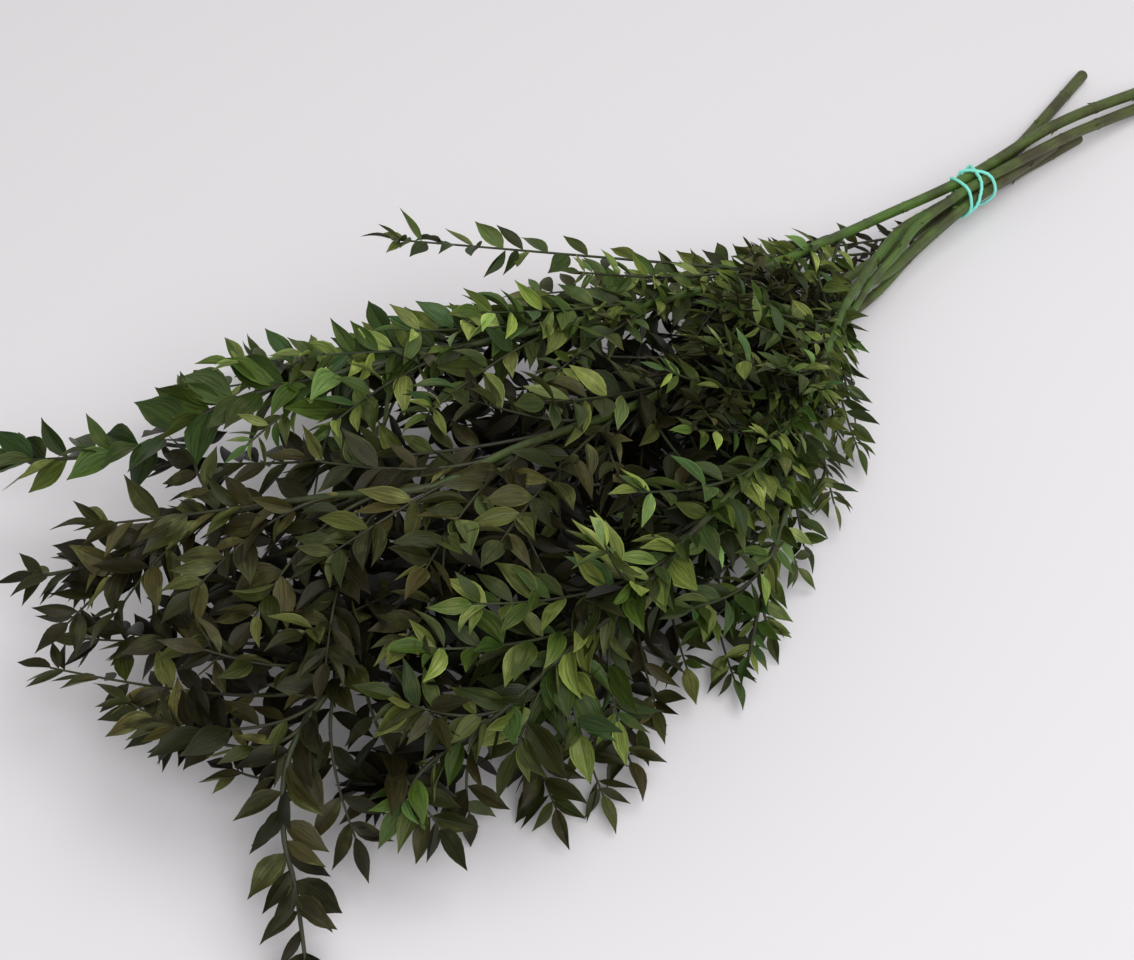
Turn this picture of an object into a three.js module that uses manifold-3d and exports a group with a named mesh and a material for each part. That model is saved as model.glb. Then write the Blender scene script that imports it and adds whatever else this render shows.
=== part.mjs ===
// A bunch of preserved ruscus: six leafy stems lying on a table, held by a wound elastic band.
// Millimetres, +Z up. The cut butts point to +X, the leafy tips to -X, and the table is at z = 0.
import * as THREE from "three";
import { mergeVertices } from "three/addons/utils/BufferGeometryUtils.js";
import Module from "manifold-3d";

const wasm = await Module();
wasm.setup();

// Driving dimensions.
const buttDiameter = 7.4; // a main stem at its cut end
const leaderDiameter = 1.8; // a main stem at its growing tip
const shootDiameter = 2.6; // a side shoot where it leaves its stem
const shootTipDiameter = 1.7;
const bandDiameter = 2;
const leafSpacing = 13; // from one leaf to the next along a shoot
const rootDepth = 0.4; // from the middle of a leaf's shoot to the leaf's root end
const leafRootThickness = 0.9;
const leafKeel = 0.7; // how far the keel hangs under the leaf
const leafWidthShare = 0.43; // of its length
const gap = 0.3; // between one stem's solids and the next one's

const stemSides = 6;
const shootSides = 3;
const stemSteps = 2; // straight lengths between two points of a stem's route
const shootSteps = 3; // straight lengths in a side shoot
const shootBend = 0.42; // of its reach, for which a side shoot keeps to its stem's direction
const bareShare = 0.3; // of a side shoot, bare before its first leaf

// How the leaves stand on their shoot, in degrees. Each spread is shared by both sides of the
// middle value.
const leanMiddle = 50; // between a leaf and the shoot's tip
const leanSpread = 24;
const rollSpread = 50; // round the shoot
const twistSpread = 60; // round the leaf's own length

// A leaf's length, as a share of its shoot's leaf length.
const sizeAtEnds = 0.87;
const sizeRise = 0.19; // added in the middle of the shoot
const sizeSpread = 0.16; // taken off at random
const tipLeafSize = 0.8; // the leaf that ends the shoot

// Each stem's route from its cut end to its growing tip, and its side shoots. A shoot is
// [how far along the stem it starts, its tip's x, y and z, its leaf length], followed by its own
// bend where that isn't shootBend.
const stems = [
  {
    name: "upper_stem",
    colour: 0x44602c,
    leafyFrom: 480,
    leafLength: 34,
    route: [
      [186, 3, 8], [92, 14, 19], [0, 13, 26], [-70, 18, 33], [-110, 18, 41], [-185, 20, 55],
      [-260, 25, 75], [-320, 35, 90], [-375, 55, 95], [-420, 70, 100], [-465, 95, 93],
      [-515, 119, 74], [-553, 162, 58],
    ],
    shoots: [
      [300, -250, 125, 9, 24],
      [350, -320, 150, 9, 24],
      [365, -350, 115, 116, 22, 0],
      [395, -347, 49, 109, 25],
      [415, -402, 182, 15, 25],
      [460, -384, 61, 112, 25],
      [470, -455, 174, 30, 25],
      [575, -455, 112, 98, 24],
    ],
  },
  {
    name: "middle_stem",
    colour: 0x4b5230,
    leafyFrom: 580,
    leafLength: 27,
    route: [
      [80, 8, 11], [50, 6, 13.2], [0, 1.6, 19.5], [-45, 0, 18], [-95, -7, 19], [-145, -5, 30],
      [-225, -15, 50], [-310, -30, 80], [-390, -30, 105], [-440, -25, 110], [-475, 5, 105],
      [-510, 35, 95], [-545, 60, 80], [-572, 73, 71], [-590, 87, 66],
    ],
    shoots: [
      [335, -370, -25, 118, 28],
      [360, -420, 90, 75, 26],
      [400, -440, -75, 115, 27],
      [455, -475, -65, 115, 27],
      [550, -540, -20, 90, 27],
      [575, -550, 10, 92, 27],
      [635, -592, 58, 60, 27],
    ],
  },
  {
    name: "lower_left_stem",
    colour: 0x47472f,
    leafyFrom: 456,
    leafLength: 29,
    route: [
      [60, 17.4, 3.8], [40, 16.8, 4.6], [0, 13, 13], [-50, 10, 12], [-80, 9, 13], [-155, 5, 20],
      [-245, -10, 35], [-335, -20, 50], [-420, -35, 65], [-485, -45, 70], [-530, -60, 70],
      [-560, -70, 60], [-580, -90, 45], [-590, -110, 30], [-605, -135, 15],
    ],
    shoots: [
      [376, -430, 20, 10, 26],
      [426, -500, -80, 100, 28],
      [531, -585, -2, 30, 28],
      [591, -608, 53, 45, 24, 0.2],
      [616, -595, 7, 55, 26],
      [636, -576, -45, 38, 25],
      [536, -575, 35, 60, 27],
    ],
  },
  {
    name: "front_stem",
    colour: 0x4a6a2e,
    leafyFrom: 440,
    leafLength: 27,
    route: [
      [160, 46.5, 3.3], [55, 20, 11], [0, 9.2, 19.5], [-32, 10, 21], [-66, 6.5, 28], [-98, -4, 34],
      [-142, -21, 40], [-170, -36, 46], [-230, -70, 60], [-290, -95, 75], [-350, -110, 85],
      [-395, -120, 85], [-440, -120, 80], [-480, -120, 70], [-515, -110, 52], [-535, -115, 45],
    ],
    shoots: [
      [475, -370, -90, 108, 24],
      [580, -415, -115, 130, 28],
      [595, -495, -90, 100, 28],
      [625, -460, -150, 65, 29],
      [670, -515, -90, 82, 26],
      [680, -505, -125, 20, 26],
    ],
  },
  {
    name: "edge_stem",
    colour: 0x3f5a2a,
    leafyFrom: 345,
    leafLength: 21,
    route: [
      [182, -4.6, 3.5], [118, 2, 12], [75, 4.5, 18], [0, 5.4, 26], [-23, 4.6, 28.3], [-60, 0.5, 31],
      [-87, -8.6, 33], [-118, -15.6, 32.6], [-166, -35.6, 36.6], [-210, -55.5, 41.3],
      [-245, -80, 45], [-280, -105, 40], [-315, -125, 25], [-345, -145, 15],
    ],
    shoots: [
      [390, -209, -80, 20, 18],
      [405, -315, -105, 70, 20],
      [425, -241, -95, 15, 20],
      [445, -345, -110, 70, 22],
      [490, -285, -121, 12, 20],
      [535, -325, -140, 12, 22],
    ],
  },
  {
    name: "under_stem",
    colour: 0x3a4428,
    leafyFrom: 420,
    leafLength: 25,
    route: [
      [107, 7.7, 2.9], [78, 9, 3.2], [50, 9.2, 5.4], [0, 5.4, 13], [-57, 0.5, 10], [-100, -9, 11],
      [-145, -15, 13], [-220, -30, 20], [-295, -55, 25], [-380, -75, 30], [-440, -85, 30],
      [-495, -90, 30], [-535, -85, 25],
    ],
    shoots: [
      [200, -280, 60, 12, 24],
      [260, -360, 80, 12, 24],
      [370, -356, -147, 8, 22],
      [415, -372, -130, 15, 26],
      [460, -412, -139, 12, 25],
      [500, -448, -153, 8, 25],
    ],
  },
];

// The band winds three times round the stems. Each turn starts at the top back of the bundle,
// and has its place along the stems at the top, in front and at the bottom.
const bandTurns = [
  [-10.5, -11.5, -13.5],
  [7, -1, -11.7],
  [-1, 9, 6],
];
const bandStart = 45; // degrees round the bundle from +Y
// The outer stems' y and z, where the band crosses them.
const bandCorners = [[13, 26], [5.4, 26], [1.6, 19.5], [5.4, 13], [13, 13]];
const bandSlack = 0.8; // its straight lengths cut the corners
const bandReach = (buttDiameter + bandDiameter) / 2 + bandSlack;
const bandSides = 5;
const bandSteps = 12; // straight lengths in one turn

const up = new THREE.Vector3(0, 0, 1);
const degrees = Math.PI / 180;

// A repeatable draw between 0 and 1. The seed names the leaf, the channel what is drawn for it.
function draw(seed, channel) {
  const wave = Math.sin(seed * 12.9898 + channel * 78.233) * 43758.5453;
  return wave - Math.floor(wave);
}

function solidOf(geometry) {
  geometry.deleteAttribute("normal");
  geometry.deleteAttribute("uv");
  const merged = mergeVertices(geometry, 1e-4);
  return new wasm.Manifold(
    new wasm.Mesh({
      numProp: 3,
      vertProperties: merged.getAttribute("position").array,
      triVerts: new Uint32Array(merged.index.array),
    }),
  );
}

function meshOf(name, solid, material) {
  const { vertProperties, triVerts } = solid.getMesh();
  const geometry = new THREE.BufferGeometry()
    .setAttribute("position", new THREE.BufferAttribute(vertProperties, 3))
    .setIndex(new THREE.BufferAttribute(triVerts, 1));
  const mesh = new THREE.Mesh(geometry, material);
  mesh.name = name;
  return mesh;
}

// The point and direction at a distance along a path of straight lengths.
function along(path, distance) {
  let left = distance;
  for (let i = 1; ; i++) {
    const length = path[i].distanceTo(path[i - 1]);
    if (left <= length || i === path.length - 1) {
      const direction = path[i].clone().sub(path[i - 1]).normalize();
      return { point: path[i - 1].clone().addScaledVector(direction, left), direction };
    }
    left -= length;
  }
}

function lengthOf(path) {
  return path.slice(1).reduce((sum, point, i) => sum + point.distanceTo(path[i]), 0);
}

// A closed tapered rod along a path: a lathed rod with one ring for each point of the path,
// bent so that each ring stands square to the path there.
function rod(path, startRadius, endRadius, sides) {
  const last = path.length - 1;
  const rings = path.map((_, i) =>
    new THREE.Vector2(THREE.MathUtils.lerp(startRadius, endRadius, i / last), i));
  const profile = [new THREE.Vector2(0, 0), ...rings, new THREE.Vector2(0, last)];
  const geometry = new THREE.LatheGeometry(profile, sides);
  const frames = [];
  let side = new THREE.Vector3(0, 1, 0);
  for (let i = 0; i <= last; i++) {
    const direction = path[Math.min(i + 1, last)].clone().sub(path[Math.max(i - 1, 0)]).normalize();
    side = side.clone().addScaledVector(direction, -side.dot(direction)).normalize();
    frames.push({ side, other: direction.clone().cross(side) });
  }
  const position = geometry.getAttribute("position");
  for (let i = 0; i < position.count; i++) {
    const ring = Math.round(position.getY(i));
    const point = path[ring].clone()
      .addScaledVector(frames[ring].side, position.getZ(i))
      .addScaledVector(frames[ring].other, position.getX(i));
    position.setXYZ(i, point.x, point.y, point.z);
  }
  return solidOf(geometry);
}

// A leaf's edge from its right side round its tip to its left side. Each point is a share of the
// leaf's length and a share of its half width.
const leafEdge = [[0.28, 0.94], [0.62, 0.82], [1, 0], [0.62, -0.82], [0.28, -0.94]];
const keelShare = 0.45; // where the keel is deepest, as a share of the length
const leafCup = 0.1; // how far the widest part stands above the tip, as a share of the half width

// One leaf: a thin blade with pointed ends, cupped above and keeled below. A margin fattens it.
function leafSolid({ root, direction, across, normal, length }, margin = 0) {
  const halfWidth = (length * leafWidthShare) / 2 + margin;
  const place = (share, half, level) => root.clone()
    .addScaledVector(direction, share * (length + margin))
    .addScaledVector(across, half * halfWidth)
    .addScaledVector(normal, level);
  const edge = leafEdge.map(([share, half]) =>
    place(share, half, Math.abs(half) * halfWidth * leafCup + margin));
  const top = place(0, 0, leafRootThickness / 2);
  const bottom = place(0, 0, -leafRootThickness / 2);
  const keel = place(keelShare, 0, -leafKeel - margin);
  const [right, farRight, tip, farLeft, left] = edge;
  const corners = [
    top, left, right, right, tip, farRight, left, tip, right, left, farLeft, tip,
    top, right, bottom, top, bottom, left,
    keel, bottom, right, keel, left, bottom,
  ];
  for (let i = 0; i + 1 < edge.length; i++) corners.push(keel, edge[i], edge[i + 1]);
  return solidOf(new THREE.BufferGeometry().setFromPoints(corners));
}

// The turns round its shoot that a leaf may take to keep clear of its neighbours, in degrees.
const leafTurns = [0, 35, -35, 70, -70, 105, -105];

// A leaf's place on its shoot, turned round the shoot by the given degrees. Its rank is the side
// that it stands on, 1 or -1, or 0 for the leaf that ends the shoot.
function leafAt(path, distance, seed, rank, turn, length) {
  const { point, direction: axis } = along(path, distance);
  const level = Math.abs(axis.z) > 0.95 ? new THREE.Vector3(0, 1, 0) : up;
  const flat = axis.clone().cross(level).normalize();
  const roll = (turn + (draw(seed, 1) - 0.5) * rollSpread) * degrees;
  const out = flat.clone().applyAxisAngle(axis, roll).multiplyScalar(rank);
  const lean = rank === 0 ? 0 : (leanMiddle + (draw(seed, 2) - 0.5) * leanSpread) * degrees;
  const direction = axis.clone().multiplyScalar(Math.cos(lean)).addScaledVector(out, Math.sin(lean));
  const inPlane = rank === 0 ? flat : axis.clone();
  const across = inPlane.addScaledVector(direction, -inPlane.dot(direction)).normalize();
  across.applyAxisAngle(direction, (draw(seed, 3) - 0.5) * twistSpread * degrees);
  const normal = direction.clone().cross(across);
  if (normal.z < 0) {
    normal.negate();
    across.negate();
  }
  const root = point.addScaledVector(direction, rootDepth);
  return { root, direction, across, normal, length };
}

// A leaf's size by its share of the way along the leafy part of its shoot.
function sizeAt(share, seed) {
  return sizeAtEnds + sizeRise * Math.sin(Math.PI * share) - sizeSpread * draw(seed, 4);
}

// The leaves along a path: each has its distance, rank, length and seed. They alternate between
// two ranks, and one more ends the shoot.
function leavesOn(path, from, leafLength, seed) {
  const length = lengthOf(path);
  const count = Math.floor((length - from) / leafSpacing);
  const leaves = [];
  for (let i = 0; i < count; i++) {
    const leafSeed = seed + i;
    leaves.push({
      path,
      distance: from + i * leafSpacing,
      rank: i % 2 ? 1 : -1,
      length: leafLength * sizeAt(i / count, leafSeed),
      seed: leafSeed,
    });
  }
  leaves.push({
    path,
    distance: length - 1,
    rank: 0,
    length: leafLength * tipLeafSize,
    seed: seed + count,
  });
  return leaves;
}

const tableWidth = 2000;
const tableDepth = 100;
const table = solidOf(
  new THREE.BoxGeometry(tableWidth, tableWidth, tableDepth).translate(0, 0, -tableDepth / 2),
);

// Seeds are numbered by stem, then by shoot, then by leaf.
const seedsPerStem = 10000;
const seedsPerShoot = 100;

// The wood of each stem, which is the main stem and its side shoots, and where its leaves will go.
const plants = stems.map((stem, number) => {
  const points = stem.route.map((point) => new THREE.Vector3(...point));
  const curve = new THREE.CatmullRomCurve3(points, false, "catmullrom");
  const path = curve.getPoints(stemSteps * (points.length - 1));
  const stemSeed = number * seedsPerStem;
  const leaves = leavesOn(path, stem.leafyFrom, stem.leafLength, stemSeed);
  let wood = rod(path, buttDiameter / 2, leaderDiameter / 2, stemSides);
  stem.shoots.forEach(([start, x, y, z, leafLength, bendShare = shootBend], i) => {
    const { point, direction } = along(path, start);
    const tip = new THREE.Vector3(x, y, z);
    const bend = point.clone().addScaledVector(direction, bendShare * point.distanceTo(tip));
    const shootPath = new THREE.QuadraticBezierCurve3(point, bend, tip).getPoints(shootSteps);
    const seed = stemSeed + (i + 1) * seedsPerShoot;
    leaves.push(...leavesOn(shootPath, bareShare * lengthOf(shootPath), leafLength, seed));
    wood = wood.add(rod(shootPath, shootDiameter / 2, shootTipDiameter / 2, shootSides));
  });
  return { stem, wood: wood.subtract(table), leaves };
});

// Every solid in place so far, with its plant, so that a leaf can be set clear of other plants.
const placed = plants.map((plant) => ({ plant, solid: plant.wood }));

function boxesMeet(a, b) {
  return [0, 1, 2].every((k) => a.min[k] <= b.max[k] && b.min[k] <= a.max[k]);
}

// Sets a leaf above the table and clear of the other plants, in the first turn that keeps it
// clear of its own plant's leaves too, or else in the first that it can have.
function setLeaf(plant, { path, distance, seed, rank, length }) {
  const free = [];
  for (const turn of leafTurns) {
    const leaf = leafAt(path, distance, seed, rank, turn, length);
    const room = leafSolid(leaf, gap);
    const box = room.boundingBox();
    const met = placed.filter((other) => other.solid !== plant.wood && boxesMeet(box, other.box)
      && room.intersect(other.solid).volume() > 0);
    if (box.min[2] > 0 && met.every((other) => other.plant === plant)) {
      free.push({ leaf, crossings: met.length });
    }
    if (free.some(({ crossings }) => crossings === 0)) break;
  }
  if (free.length === 0) return;
  const best = free.find(({ crossings }) => crossings === 0) ?? free[0];
  const solid = leafSolid(best.leaf);
  placed.push({ plant, solid, box: solid.boundingBox() });
}

// One turn of the band: a rod round the outside of the bundle.
function bandTurn(turn) {
  const next = bandTurns[(turn + 1) % bandTurns.length];
  const stations = [...bandTurns[turn], (bandTurns[turn][2] + next[0]) / 2, next[0]];
  const course = new THREE.CatmullRomCurve3(stations.map((x) => new THREE.Vector3(x, 0, 0)));
  const path = [];
  for (let i = 0; i <= bandSteps; i++) {
    const angle = (bandStart + (360 * i) / bandSteps) * degrees;
    const [dy, dz] = [Math.cos(angle), Math.sin(angle)];
    const reach = ([y, z]) => y * dy + z * dz;
    const [y, z] = bandCorners.reduce((best, corner) => (reach(corner) > reach(best) ? corner : best));
    const x = course.getPoint(i / bandSteps).x;
    path.push(new THREE.Vector3(x, y + dy * bandReach, z + dz * bandReach));
  }
  return rod(path, bandDiameter / 2, bandDiameter / 2, bandSides);
}

placed.forEach((entry) => {
  entry.box = entry.solid.boundingBox();
});
plants.forEach((plant) => plant.leaves.forEach((leaf) => setLeaf(plant, leaf)));

const bunch = new THREE.Group();
for (const plant of plants) {
  const solids = placed.filter((entry) => entry.plant === plant).map((entry) => entry.solid);
  const joined = solids.reduce((sum, solid) => sum.add(solid));
  const material = new THREE.MeshStandardMaterial({ color: plant.stem.colour, roughness: 0.6 });
  bunch.add(meshOf(plant.stem.name, joined, material));
}
const band = bandTurns.map((_, turn) => bandTurn(turn)).reduce((sum, solid) => sum.add(solid));
bunch.add(meshOf("tie_band", band, new THREE.MeshStandardMaterial({ color: 0x5fd3c0, roughness: 0.5 })));

// The origin is on the table, under the middle of the whole bunch.
const extent = new THREE.Box3().setFromObject(bunch);
const middle = extent.getCenter(new THREE.Vector3());
bunch.position.set(-middle.x, -middle.y, -extent.min.z);

export default bunch;
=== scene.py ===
import math
import bpy
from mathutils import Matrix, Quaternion, Vector, kdtree


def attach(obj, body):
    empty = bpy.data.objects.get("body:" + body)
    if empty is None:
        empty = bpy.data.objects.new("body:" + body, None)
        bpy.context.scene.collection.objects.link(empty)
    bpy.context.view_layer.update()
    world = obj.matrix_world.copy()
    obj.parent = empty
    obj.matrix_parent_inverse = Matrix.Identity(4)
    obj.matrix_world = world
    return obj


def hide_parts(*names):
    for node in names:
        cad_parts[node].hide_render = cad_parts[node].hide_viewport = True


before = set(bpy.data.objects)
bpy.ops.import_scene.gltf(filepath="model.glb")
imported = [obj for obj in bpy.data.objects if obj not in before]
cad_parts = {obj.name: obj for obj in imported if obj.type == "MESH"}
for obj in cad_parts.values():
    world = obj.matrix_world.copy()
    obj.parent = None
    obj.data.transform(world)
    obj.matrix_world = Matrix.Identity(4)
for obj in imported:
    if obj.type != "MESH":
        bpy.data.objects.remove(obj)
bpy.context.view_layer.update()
print("frame loaded:", ", ".join(sorted(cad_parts)))

mm = 0.001
up = Vector((0, 0, 1))
degree = math.pi / 180

# Routes and shoots are in millimetres from the point on the table under the tie. This is where
# that point lies in the part's own frame, in metres.
tiePlace = Vector((0.215229, -0.013561, 0))


def addObject(name, data):
    made = bpy.data.objects.new(name, data)
    bpy.context.scene.collection.objects.link(made)
    return made


def newFinish(name):
    material = bpy.data.materials.new(name)
    material.use_nodes = True
    return material, material.node_tree, material.node_tree.nodes["Principled BSDF"]


def feed(node, inputs):
    # links the sockets given and sets the plain values
    for key, value in inputs.items():
        if isinstance(value, bpy.types.NodeSocket):
            node.id_data.links.new(value, node.inputs[key])
        else:
            node.inputs[key].default_value = value


# Camera, light and floor

view = {
    "azimuth": -42,
    "elevation": 48,
    "distance": 1.0,
    "aim": (-0.1391, -0.0373, 0.05),
    "focalPixels": 2000,  # focal length over the size of a pixel
    "imageWidth": 1134,
    "sensorWidth": 36,
    "clip": (0.01, 50),
}


def setCamera():
    data = bpy.data.cameras.new("camera")
    data.sensor_width = view["sensorWidth"]
    data.lens = view["sensorWidth"] * view["focalPixels"] / view["imageWidth"]
    data.clip_start, data.clip_end = view["clip"]
    azimuth, elevation = view["azimuth"] * degree, view["elevation"] * degree
    back = Vector((
        math.sin(azimuth) * math.cos(elevation),
        -math.cos(azimuth) * math.cos(elevation),
        math.sin(elevation),
    ))
    camera = addObject("camera", data)
    camera.location = Vector(view["aim"]) + back * view["distance"]
    camera.rotation_euler = (-back).to_track_quat("-Z", "Y").to_euler()
    bpy.context.scene.camera = camera


setCamera()

studio = {
    "floorSize": 8,
    "floorDrop": 0.0003,  # keeps the floor just clear of what rests on it
    "floor": {
        "Base Color": (0.79, 0.775, 0.80, 1), "Roughness": 0.75, "Specular IOR Level": 0.2,
    },
    "sky": {"Color": (1.0, 0.98, 0.97, 1), "Strength": 0.49},
    "aim": (-0.1, 0, 0.05),
    "lights": {  # place, size and power
        "key": ((0.75, -0.35, 2.1), 1.8, 16),    # over the cut ends
        "fill": ((-0.8, -1.4, 1.8), 1.6, 25.5),  # behind the camera
    },
}


def setStudio():
    half = studio["floorSize"] / 2
    drop = -studio["floorDrop"]
    mesh = bpy.data.meshes.new("floor")
    corners = [(-half, -half, drop), (half, -half, drop), (half, half, drop), (-half, half, drop)]
    mesh.from_pydata(corners, [], [(0, 1, 2, 3)])
    paint, _, shader = newFinish("pale_floor")
    feed(shader, studio["floor"])
    mesh.materials.append(paint)
    addObject("floor", mesh)

    world = bpy.data.worlds.new("studio")
    world.use_nodes = True
    feed(world.node_tree.nodes["Background"], studio["sky"])
    bpy.context.scene.world = world
    for name, (place, size, power) in studio["lights"].items():
        data = bpy.data.lights.new(name, "AREA")
        data.shape, data.size, data.energy = "DISK", size, power
        light = addObject(name, data)
        light.location = place
        aim = Vector(studio["aim"]) - Vector(place)
        light.rotation_euler = aim.to_track_quat("-Z", "Y").to_euler()
    bpy.context.scene.view_settings.view_transform = "Standard"


setStudio()


# Node helpers: sockets or plain values go in

def addNode(tree, kind, inputs=None, **settings):
    node = tree.nodes.new(kind)
    for key, value in settings.items():
        setattr(node, key, value)
    feed(node, inputs or {})
    return node


def geometryNode(tree, kind, inputs=None, **settings):
    return addNode(tree, "GeometryNode" + kind, inputs, **settings).outputs[0]


def calc(tree, operation, *values):
    return addNode(tree, "ShaderNodeMath", dict(enumerate(values)), operation=operation).outputs[0]


def product(tree, first, *others):
    for other in others:
        first = calc(tree, "MULTIPLY", first, other)
    return first


def vectorCalc(tree, operation, *values):
    node = addNode(tree, "ShaderNodeVectorMath", dict(enumerate(values)), operation=operation)
    return node.outputs["Value" if operation == "LENGTH" else "Vector"]


def scaled(tree, vector, factor):
    node = addNode(tree, "ShaderNodeVectorMath", {0: vector, "Scale": factor}, operation="SCALE")
    return node.outputs["Vector"]


def summed(tree, first, *others):
    for other in others:
        first = vectorCalc(tree, "ADD", first, other)
    return first


def turned(tree, vector, axis, angle):
    node = addNode(tree, "ShaderNodeVectorRotate", {"Vector": vector, "Axis": axis, "Angle": angle},
                   rotation_type="AXIS_ANGLE")
    return node.outputs["Vector"]


def combined(tree, x, y, z=0.0):
    return addNode(tree, "ShaderNodeCombineXYZ", {"X": x, "Y": y, "Z": z}).outputs[0]


def separated(tree, vector):
    return addNode(tree, "ShaderNodeSeparateXYZ", {0: vector}).outputs


def attribute(tree, name, kind="FLOAT_VECTOR"):
    return geometryNode(tree, "InputNamedAttribute", {"Name": name}, data_type=kind)


def stored(tree, geometry, name, value, kind="FLOAT_VECTOR"):
    return geometryNode(tree, "StoreNamedAttribute",
                        {"Geometry": geometry, "Name": name, "Value": value},
                        data_type=kind, domain="POINT")


def newTree(name, sizes):
    # sizes maps an input's name to its socket type and value
    tree = bpy.data.node_groups.new(name, "GeometryNodeTree")
    tree.interface.new_socket("Geometry", in_out="INPUT", socket_type="NodeSocketGeometry")
    tree.interface.new_socket("Geometry", in_out="OUTPUT", socket_type="NodeSocketGeometry")
    identifiers = {}
    for label, (kind, _) in sizes.items():
        socket = tree.interface.new_socket(label, in_out="INPUT", socket_type=kind)
        identifiers[label] = socket.identifier
    return tree, tree.nodes.new("NodeGroupInput").outputs, identifiers


def finishTree(tree, geometry, material):
    # the last steps of a tree: plain faces in their finish
    geometry = geometryNode(tree, "RealizeInstances", {"Geometry": geometry})
    geometry = geometryNode(tree, "SetMaterial", {"Geometry": geometry, "Material": material})
    addNode(tree, "NodeGroupOutput", {"Geometry": geometry})


def pointMesh(name, places, edges, kind, values):
    # points for a tree to read, where values maps an attribute's name to its numbers
    mesh = bpy.data.meshes.new(name)
    mesh.from_pydata(places, edges, [])
    for label, numbers in values.items():
        entries = mesh.attributes.new(label, kind, "POINT").data
        entries.foreach_set("value" if kind == "FLOAT" else "vector", numbers)
    return mesh


def evaluatedMesh(name, base, maker, sizes, onlyForTree, sharpFold):
    # runs a tree on a mesh and gives the result as a plain mesh
    tree, identifiers = maker
    carrier = addObject(name + "_source", base)
    modifier = carrier.modifiers.new("made", "NODES")
    modifier.node_group = tree
    for label, (_, value) in sizes.items():
        modifier[identifiers[label]] = value
    graph = bpy.context.evaluated_depsgraph_get()
    graph.update()
    mesh = bpy.data.meshes.new_from_object(carrier.evaluated_get(graph))
    mesh.name = name
    carrier.modifiers.remove(modifier)
    bpy.data.objects.remove(carrier)
    for label in onlyForTree:
        if label in mesh.attributes:
            mesh.attributes.remove(mesh.attributes[label])
    mesh.set_sharp_from_angle(angle=sharpFold * degree)
    return mesh


def addPiece(name, mesh, node):
    piece = addObject(name, mesh)
    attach(piece, "root")
    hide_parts(node)


# Helpers for the finishes

def readAttribute(tree, name):
    node = addNode(tree, "ShaderNodeAttribute", attribute_name=name, attribute_type="GEOMETRY")
    return node.outputs


def mixed(tree, share, first, second, blend="MIX"):
    node = addNode(tree, "ShaderNodeMix", {"Factor": share, 6: first, 7: second},
                   data_type="RGBA", blend_type=blend)
    return node.outputs[2]


def ramp(tree, value, reach, ends=(0.0, 1.0), curve="SMOOTHSTEP"):
    node = addNode(tree, "ShaderNodeMapRange",
                   {"Value": value, "From Min": reach[0], "From Max": reach[1],
                    "To Min": ends[0], "To Max": ends[1]}, interpolation_type=curve)
    return node.outputs["Result"]


def noise(tree, scale, detail=3, place=None):
    # over the piece itself unless another place is given
    if place is None:
        place = addNode(tree, "ShaderNodeTexCoord").outputs["Object"]
    node = addNode(tree, "ShaderNodeTexNoise", {"Vector": place, "Scale": scale, "Detail": detail})
    return node.outputs["Fac"]


def shaded(tree, colour, lightness):
    return mixed(tree, 1.0, colour, combined(tree, lightness, lightness, lightness), "MULTIPLY")


def bumped(tree, height, strength, depth):
    inputs = {"Height": height, "Strength": strength, "Distance": depth}
    return addNode(tree, "ShaderNodeBump", inputs).outputs["Normal"]


# Leaf finish

leafLook = {
    "green": (0.058, 0.106, 0.014, 1),
    "bluish": (0.050, 0.114, 0.038, 1),
    "olive": (0.052, 0.045, 0.013, 1),
    "pale": (0.17, 0.19, 0.06, 1),
    "yellow": (0.098, 0.114, 0.026, 1),
    "tip": (0.030, 0.022, 0.012, 1),
    # a ramp lies between the first two values and rises from 0 to 1, or between the second two
    "tipRamp": ((0.92, 0.99),),
    "bluishRamp": ((0.5, 1.2),),
    "yellowRamp": ((0.8, 1.7), (0.0, 0.6)),    # of the leaf's lightness, which holds painted light and shade, so the yellow is partly a painted hue of lit leaves
    "patchRamp": ((0.52, 0.72), (0.0, 0.45)),
    "belowRamp": ((-0.2, 0.0), (0.3, 0.0)),    # how far the underside is paler
    "streakRamp": ((0.32, 0.68), (0.66, 1.34)),
    "midribRamp": ((0.02, 0.09), (0.7, 1.0)),
    # pale margins, partly a painted highlight along the rims
    "marginPaleAndHighlightRamp": ((0.86, 0.99), (1.0, 1.4)),
    "patchScale": 75,
    "streakWay": (8.0, 2.2, 60),  # across the leaf, along it and from leaf to leaf
    "veins": 9,
    "veinDepth": 0.12,
    "roughness": (0.2, 0.35),     # times the patches, and plus this
    "shine": 0.18,
    "bump": (0.12, 0.0003),
}


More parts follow.
